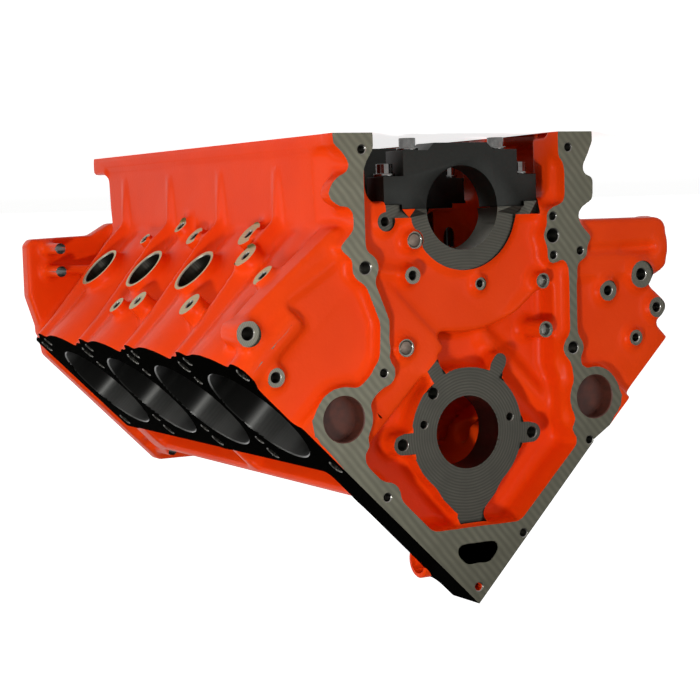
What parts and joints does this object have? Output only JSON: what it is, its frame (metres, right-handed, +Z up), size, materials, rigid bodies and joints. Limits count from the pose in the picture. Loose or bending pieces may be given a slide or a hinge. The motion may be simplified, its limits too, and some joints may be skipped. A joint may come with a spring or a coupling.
{
  "type": "engine block",
  "caption": "Bare cast iron V engine block with machined decks, cylinder bores, timing case, bell housing flange and bolted main bearing caps",
  "frame": {"origin": "on the crank axis, in the plane of the front cover face", "axes": "+X to the left bank, +Y from the front face to the bell housing face along the crank, +Z up to the valley"},
  "size_m": [0.4426, 0.535, 0.3943],
  "materials": {
    "block_casting": "orange enamel over cast iron, machined faces bare",
    "cap_iron": "black phosphated iron",
    "bolt_steel": "bright alloy steel",
    "plug_steel": "zinc plated steel",
    "dowel_steel": "ground steel"
  },
  "bodies": {
    "root": {"cylinder_block": "block_casting", "main_cap_1": "cap_iron", "inner_bolts_cap_1": "bolt_steel", "outer_bolts_cap_1": "bolt_steel", "main_cap_2": "cap_iron", "inner_bolts_cap_2": "bolt_steel", "outer_bolts_cap_2": "bolt_steel", "main_cap_3": "cap_iron", "inner_bolts_cap_3": "bolt_steel", "outer_bolts_cap_3": "bolt_steel", "main_cap_4": "cap_iron", "inner_bolts_cap_4": "bolt_steel", "outer_bolts_cap_4": "bolt_steel", "main_cap_5": "cap_iron", "inner_bolts_cap_5": "bolt_steel", "outer_bolts_cap_5": "bolt_steel", "front_gallery_plugs": "plug_steel", "rear_cam_plug": "plug_steel", "bell_housing_dowels": "dowel_steel"}
  },
  "joints": []
}
